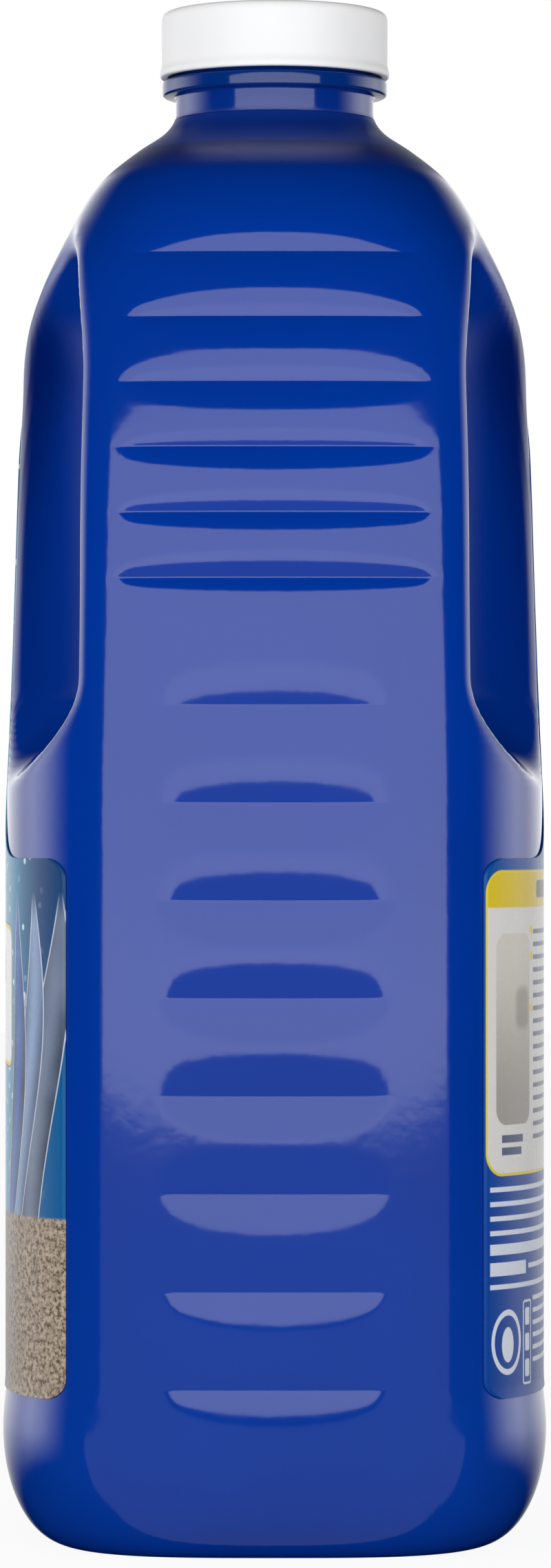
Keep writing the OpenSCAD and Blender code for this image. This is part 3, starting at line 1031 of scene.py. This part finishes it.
@dataclass(frozen=True)
class FoamSheet:
    """Matt pale foam with fine open cells."""

    pale: Colour = paint(238, 238, 228)
    cell: Colour = paint(205, 204, 192)

    def material(self) -> bpy.types.Material:
        """Makes the material."""
        sh = Shader("foam_sheet", IOR=1.4)
        cells = sh.node("ShaderNodeTexVoronoi", {}, {"Vector": sh.place, "Scale": 2600})
        wall = sh.ramp(0.2, 0.6, Value(sh, cells.outputs["Distance"]))
        return sh.finish(sh.mix(wall, self.pale, self.cell), 0.85, 1 - wall, 0.05 * MM)


class Film(Shader):
    """A printed glossy film. The print is laid out in millimetres on the piece's own map.

    Its u runs from the edge beside the grip side round the broad side, and its v is the height.
    """

    edge = 0.14

    def __init__(self, name: str) -> None:
        """Starts the film."""
        super().__init__(name, IOR=1.45, Specular_IOR_Level=0.2)
        self.map = self.node("ShaderNodeUVMap", {"uv_map": "print"}).outputs["UV"]
        u, v, _ = self.split(self.map)
        self.u = u / MM
        self.v = v / MM

    def cut(self, distance: Number, soft: float = edge) -> Value:
        """Turns a distance outside a shape into a mask with a fine soft edge."""
        return self.math("SUBTRACT", 0.5, distance / soft, clamp=True)

    def lay(self, under: object, distance: Number, over: object, soft: float = edge) -> Socket:
        """Lays a colour over another inside a shape, by the distance outside that shape."""
        return self.mix(self.cut(distance, soft), under, over)

    def box(self, centre: Pair, size: Pair, corner: float, v: Value | None = None) -> Value:
        """Distance outside a rounded box, less than 0 inside.

        Args:
            centre: middle of the box.
            size: its width and height.
            corner: radius of its corners.
            v: what stands for the height, if the box is tilted.

        Returns:
            The distance.
        """
        du = abs(self.u - centre[0]) - (size[0] / 2 - corner)
        dv = abs((v or self.v) - centre[1]) - (size[1] / 2 - corner)
        outside = self.length(self.either(du, 0.0), self.either(dv, 0.0))
        return outside + self.both(self.either(du, dv), 0.0) - corner

    def disc(self, centre: Pair, radius: float, stretch: float = 1.0) -> Value:
        """Distance outside a disc, or an upright ellipse of that half-width."""
        return self.length(self.u - centre[0], (self.v - centre[1]) / stretch) - radius

    def bars(self, corner: Pair, width: float, rows: int, pitch: float, thick: float, ragged: float) -> Value:
        """Masks a block of level bars, each a little shorter or longer than the last.

        Args:
            corner: the block's near upper corner.
            width: length of a full bar.
            rows: how many bars.
            pitch: distance between two bars.
            thick: height of a bar.
            ragged: how much shorter a bar may be, as a share of the full one.

        Returns:
            The mask.
        """
        down = (corner[1] - self.v) / pitch
        row = self.math("FLOOR", down)
        within = abs((down - row - 0.5) * pitch)
        key = self.node("ShaderNodeTexWhiteNoise", {"noise_dimensions": "1D"}, {"W": row + corner[0]})
        length = width * (1 - ragged * Value(self, key.outputs["Value"]))
        inside = self.both(self.cut(corner[0] - self.u), self.cut(self.u - corner[0] - length))
        block = self.both(self.cut(0 - down), self.cut(down - rows))
        return self.both(self.cut(within - thick / 2), self.both(inside, block))

    def printed(self, colour: Socket) -> bpy.types.Material:
        """Sets the film's print and gloss, with a faint waviness from the glue under it."""
        gloss = 0.24 + 0.06 * self.noise(self.place, 400, 2)
        return self.finish(colour, gloss, self.noise(self.place, 45, 2), 0.03 * MM)


@dataclass(frozen=True)
class FrontPrint:
    """The front label: a blue-to-cyan field with bubbles, flowing bands, a plate and flecks."""

    frame: Colour = paint(28, 40, 74)
    yellow: Colour = paint(232, 206, 40)

    def material(self) -> bpy.types.Material:
        """Makes the printed film."""
        f = Film("front_label_print")
        colour = self.field(f)
        for layer in (self.bubbles, self.waves, self.pile, self.plate):
            colour = layer(f, colour)
        return f.printed(colour)

    def field(self, f: Film) -> Socket:
        """The ground: dark blue above and at the near edge, teal lower down, pale cyan in the middle."""
        lower = f.mix(f.ramp(128, 84, f.v), paint(22, 66, 116), paint(4, 92, 150))
        near = f.mix(f.ramp(6, 26, f.u), lower, paint(40, 140, 182))
        glow = f.both(f.ramp(22, 52, f.u), f.ramp(112, 84, f.u))
        cyan = f.mix(glow, near, paint(150, 212, 226))
        return f.mix(f.ramp(150, 215, f.v) * 0.8, cyan, paint(8, 78, 146))

    def bubbles(self, f: Film, colour: Socket) -> Socket:
        """Small white bubbles of two sizes that thin out towards the near edge."""
        where = f.both(f.ramp(5, 16, f.u), f.ramp(60, 96, f.v))
        for scale, size, key in ((260, 0.2, 0.0), (140, 0.15, 3.7)):
            inputs = {0: f.map, 1: (key, key, 0.0)}
            moved = f.node("ShaderNodeVectorMath", {"operation": "ADD"}, inputs).outputs[0]
            inputs = {"Vector": moved, "Scale": scale}
            cells = f.node("ShaderNodeTexVoronoi", {"voronoi_dimensions": "2D"}, inputs)
            pick, _, _ = f.split(cells.outputs["Color"])
            spot = f.ramp(size, size * 0.55, Value(f, cells.outputs["Distance"]))
            mask = f.both(spot, f.ramp(0.5, 0.62, pick)) * where * 0.8
            colour = f.mix(mask, colour, paint(232, 246, 250))
        return colour

    def waves(self, f: Film, colour: Socket) -> Socket:
        """Three flowing bands, one beside the other, each a sine wave with a pale inner streak."""
        bands = ((6.5, 5.5, 0.0, paint(44, 52, 68), paint(112, 124, 146)),
                 (13.5, 4.6, 0.8, paint(62, 80, 118), paint(140, 164, 200)),
                 (20.0, 4.2, 1.7, paint(36, 44, 62), paint(30, 92, 176)))
        reach = f.both(f.ramp(129, 122, f.v), f.ramp(52, 60, f.v))
        for centre, half, phase, tone, streak in bands:
            sway = 2.6 * f.math("SINE", f.v / 15.0 + phase) + 0.10 * (f.v - 95)
            swell = half * f.math("SINE", f.either((f.v - 44) / 86 * math.pi, 0.0), clamp=True)
            away = abs(f.u - (centre - sway))
            body = f.both(f.cut(away - swell, 0.4), reach)
            shade = f.mix(f.ramp(0, 1, away / half), streak, tone)
            lit = f.mix(f.ramp(0.3, 0.75, f.noise(f.map, 70, 2)) * 0.25, shade, paint(150, 164, 192))
            colour = f.mix(body * 0.94, colour, lit)
            line = f.both(f.cut(abs(away - swell) - 0.16), reach) * 0.7
            colour = f.mix(line, colour, paint(222, 230, 240))
        return colour

    def pile(self, f: Film, colour: Socket) -> Socket:
        """A beige band of fine flecks along the foot, darker away from the near edge."""
        fleck = f.ramp(0.36, 0.6, f.noise(f.map, 900, 4, 0.75))
        clump = f.ramp(0.5, 0.72, f.noise(f.map, 260, 3, 0.6)) * 0.45
        beige = f.mix(fleck, paint(86, 70, 56), paint(186, 169, 150))
        beige = f.mix(clump, beige, paint(88, 74, 64))
        far = f.mix(f.ramp(16, 40, f.u) * 0.55, beige, paint(72, 82, 104))
        return f.lay(colour, f.v - 65.5, far, 0.5)

    def plate(self, f: Film, colour: Socket) -> Socket:
        """A white plate with a yellow rim, plain blue bars on it and a dark badge below."""
        tilted = f.v - 0.06 * (f.u - 60)
        plate = f.box((62, 110), (76, 26), 2.5, tilted)
        badge = f.disc((52, 88), 15, 0.6)
        for distance, tone in (
            (plate - 1.1, self.frame), (plate - 0.8, self.yellow), (plate, paint(240, 242, 246)),
            (f.box((64, 115), (56, 7), 1.5, tilted), paint(20, 54, 130)),
            (f.box((64, 104), (40, 4), 1.5, tilted), paint(20, 54, 130)),
            (badge - 0.7, paint(228, 234, 240)), (badge, paint(36, 48, 76)),
            (f.box((54, 88), (16, 3), 1), paint(214, 222, 232)),
        ):
            colour = f.lay(colour, distance, tone)
        return colour


@dataclass(frozen=True)
class BackPrint:
    """The back label: a blue field, a white panel with a yellow head, bars and two plain marks."""

    white: Colour = paint(226, 232, 240)
    yellow: Colour = paint(222, 198, 46)
    note_rows: tuple[tuple[Pair, float, int, float, float, float], ...] = (
        ((1.6, 72.5), 104, 4, 2.8, 0.95, 0.06), ((1.6, 61), 70, 1, 3.0, 2.1, 0.0),
        ((1.6, 57.4), 13, 1, 3.4, 2.6, 0.0), ((16, 57.0), 88, 1, 2.4, 0.95, 0.1),
        ((1.6, 53.5), 100, 1, 2.4, 0.95, 0.1), ((19, 50.5), 84, 6, 2.4, 0.9, 0.1),
    )

    def material(self) -> bpy.types.Material:
        """Makes the printed film."""
        f = Film("back_label_print")
        colour = f.mix(f.ramp(60, 120, f.v), paint(6, 66, 150), paint(2, 76, 152))
        for layer in (self.panel, self.notes, self.marks):
            colour = layer(f, colour)
        return f.printed(colour)

    def panel(self, f: Film, colour: Socket) -> Socket:
        """The white panel: yellow head and rim, three grey picture fields, bars and dots beside them."""
        def shaded(low: Colour, high: Colour) -> Socket:
            """A field's tone, which rises with the height."""
            return f.mix(f.ramp(84, 120, f.v), low, high)

        white = f.lay(paint(216, 190, 40), f.v - 125.5, paint(216, 215, 212), 0.3)
        tone = shaded(paint(158, 154, 148), paint(206, 202, 192))
        patch = f.cut(f.box((13, 106), (6, 8), 2), 1.5) * 0.5
        white = f.lay(white, f.box((10, 102), (13.4, 37), 3), f.mix(patch, tone, paint(112, 104, 98)))
        ink = f.either(f.bars((19.2, 122), 30, 17, 2.5, 0.9, 0.35), f.bars((5.0, 82), 9, 2, 2.4, 1.5, 0.2))
        white = f.mix(ink, white, paint(84, 92, 124))
        for level in (121, 116, 106):
            white = f.lay(white, f.disc((17.8, level), 0.9), self.yellow)
        white = f.lay(white, f.box((58, 129), (72, 3.4), 1), paint(70, 74, 60))
        tone = shaded(paint(150, 160, 172), paint(206, 212, 216))
        for centre in (66, 94):
            white = f.lay(white, f.box((centre, 102), (24, 37), 3), tone)
        panel = f.box((56, 103.2), (110, 58), 4)
        return f.lay(f.lay(colour, panel - 0.55, self.yellow), panel, white)

    def notes(self, f: Film, colour: Socket) -> Socket:
        """White bars on the blue: four fine rows, two bold ones and fine ones to the foot."""
        ink = 0.0
        for row in self.note_rows:
            ink = f.either(ink, f.bars(*row))
        return f.mix(ink * 0.85, colour, self.white)

    def marks(self, f: Film, colour: Socket) -> Socket:
        """Two plain marks: a ring round a drop, and an upright box with three tiles."""
        shapes = [abs(f.disc((7.0, 41.5), 4.6, 1.25)) - 0.45, f.disc((7.0, 41.0), 2.0, 1.7),
                  abs(f.box((15.4, 41), (4.2, 16), 0.6)) - 0.22]
        shapes += [f.box((15.4, level), (2.4, 3.4), 0.5) for level in (36, 41, 46)]
        white = 0.0
        for distance in shapes:
            white = f.either(white, f.cut(distance))
        return f.mix(white * 0.9, colour, self.white)


@dataclass(frozen=True)
class Camera:
    """The photograph's view: square to the grip side, from a long way off."""

    distance: float = 1.25
    height: float = 0.1412
    focal_px: float = 9000.0
    frame_px: tuple[int, int] = (800, 2277)
    centre_px: float = 398.8
    horizon_px: float = 1200.0
    sensor: float = 36.0

    def build(self) -> None:
        """Makes the camera and gives it to the scene."""
        data = bpy.data.cameras.new("camera")
        long_side = self.frame_px[1]
        data.sensor_width = self.sensor
        data.lens = self.focal_px / long_side * self.sensor
        data.shift_x = (self.frame_px[0] / 2 - self.centre_px) / long_side
        data.shift_y = (self.horizon_px - long_side / 2) / long_side
        data.clip_start, data.clip_end = 0.05, 20
        made = bpy.data.objects.new("camera", data)
        made.location = (self.distance, 0, self.height)
        made.rotation_euler = (math.pi / 2, 0, math.pi / 2)
        bpy.context.scene.collection.objects.link(made)
        bpy.context.scene.camera = made


@dataclass(frozen=True)
class Studio:
    """Soft plain light: one broad light in front of the grip side, a pale surround and a pale floor.

    A pair beside light_z says where a part of the surround begins and where it is full, as a part of
    the ray's direction: over and under by its rise, back and far by its run along X, side by Y.
    """

    light_x: float = 0.565
    light_z: Pair = (0.059, 0.425)
    light_w: float = 1.18
    radiance: float = 2.35
    ambient: float = 0.42
    fill: float = 1.2
    rear: float = 2.2
    over: Pair = (0.52, 0.08)
    under: Pair = (-0.26, 0.03)
    back: Pair = (0.25, -0.4)
    far: Pair = (-0.5, -0.8)
    far_loss: float = 0.45
    fill_over: Pair = (0.62, 0.3)
    fill_back: Pair = (0.1, -0.3)
    side: Pair = (-0.3, 0.7)
    side_loss: float = 0.6
    table: float = 0.4
    table_edge: Pair = (0.0, -0.03)
    grip_x: float = 0.065
    floor_size: float = 6.0
    floor_white: float = 0.93

    def light(self) -> None:
        """Hangs the broad light, whose power is radiance * pi * area."""
        low, high = self.light_z
        data = bpy.data.lights.new("broad_light", "AREA")
        data.shape = "RECTANGLE"
        data.size, data.size_y = self.light_w, high - low
        data.energy = self.radiance * math.pi * self.light_w * (high - low)
        made = bpy.data.objects.new("broad_light", data)
        made.location = (self.light_x, 0, (low + high) / 2)
        made.rotation_euler = (math.pi / 2, 0, math.pi / 2)
        made.visible_camera = False
        bpy.context.scene.collection.objects.link(made)

    def world(self) -> None:
        """Makes the surround, by the direction that a ray leaves in.

        The camera sees plain white. Reflections see a bright low surround behind the object, brightest
        beside it, and a dim table in front, as wide as the broad light. Matt surfaces get a dim level
        from all round and a fill from behind and beside.
        """
        world = bpy.data.worlds.new("surround")
        world.use_nodes = True
        bpy.context.scene.world = world
        n = Nodes(world.node_tree)
        ahead, aside, up = n.split(n.node("ShaderNodeTexCoord").outputs["Generated"])
        ray = n.node("ShaderNodeLightPath").outputs
        kinds = "Is Camera Ray", "Is Glossy Ray", "Is Transmission Ray"
        seen, glossy, through = (Value(n, ray[kind]) for kind in kinds)
        mirrored = n.math("ADD", glossy, through, clamp=True)
        low = n.ramp(*self.over, up) * n.ramp(*self.under, up)
        behind = self.rear * n.ramp(*self.back, ahead) * (1 - self.far_loss * n.ramp(*self.far, ahead))
        half_angle = self.light_w / 2 / (self.light_x - self.grip_x)
        facing = n.math("LESS_THAN", abs(aside), ahead * half_angle)
        gloss = low * behind + self.table * facing * n.ramp(*self.table_edge, up)
        fill = self.fill * n.ramp(*self.fill_over, up) * n.ramp(*self.fill_back, ahead)
        matt = (self.ambient + fill) * (1 - self.side_loss * n.ramp(*self.side, aside))
        strength = seen + (1 - seen) * (mirrored * gloss + (1 - mirrored) * matt)
        back = n.node("ShaderNodeBackground", {}, {"Color": (1, 1, 1, 1), "Strength": strength})
        n.node("ShaderNodeOutputWorld", {}, {"Surface": back.outputs[0]})

    def floor(self) -> None:
        """Lays the floor: nearly white to the camera, and it keeps a soft shadow."""
        material = bpy.data.materials.new("floor")
        material.use_nodes = True
        n = Nodes(material.node_tree)
        matt = n.node("ShaderNodeBsdfDiffuse", {}, {"Color": paint(240, 240, 242)})
        white = n.node("ShaderNodeEmission", {}, {"Color": (1, 1, 1, 1), "Strength": 1.0})
        seen = Value(n, n.node("ShaderNodeLightPath").outputs["Is Camera Ray"])
        inputs = {0: seen * self.floor_white, 1: matt.outputs[0], 2: white.outputs[0]}
        both = n.node("ShaderNodeMixShader", {}, inputs)
        n.node("ShaderNodeOutputMaterial", {}, {"Surface": both.outputs[0]})
        h = self.floor_size / 2
        corners = np.array([[-h, -h, 0], [h, -h, 0], [h, h, 0], [-h, h, 0]])
        made = make_object("floor", (corners, [np.array([[0, 1, 2, 3]])]), material)
        made.visible_glossy = False

    def build(self) -> None:
        """Sets the studio up."""
        self.light()
        self.world()
        self.floor()
        bpy.context.scene.view_settings.view_transform = "Standard"


def place(piece: bpy.types.Object, body: str, node: str) -> None:
    """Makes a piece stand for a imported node.

    Args:
        piece: the new piece.
        body: the body that it moves with.
        node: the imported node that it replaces.
    """
    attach(piece, body)
    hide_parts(node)
    LOG.info("%s stands for %s on %s: %d faces", piece.name, node, body, len(piece.data.polygons))


def main() -> None:
    """Builds and dresses the bottle, then the studio round it."""
    logging.basicConfig(level=logging.INFO, format="%(name)s: %(message)s")
    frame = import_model()
    Camera().build()
    bottle = Bottle()
    skin = bottle.skin
    place(bottle.build(), "bottle_body", "bottle")
    place(Cap(skin.s).build(), "screw_cap", "cap")
    place(Liner(skin.s).build(), "lifting_disc", "cap_liner")
    front = Label(Side.FRONT, skin).build("front_film", FrontPrint().material())
    place(front, "bottle_body", "front_label")
    back = Label(Side.BACK, skin).build("back_film", BackPrint().material())
    place(back, "bottle_body", "back_label")
    Studio().build()
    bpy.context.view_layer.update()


if __name__ == "__main__":
    main()
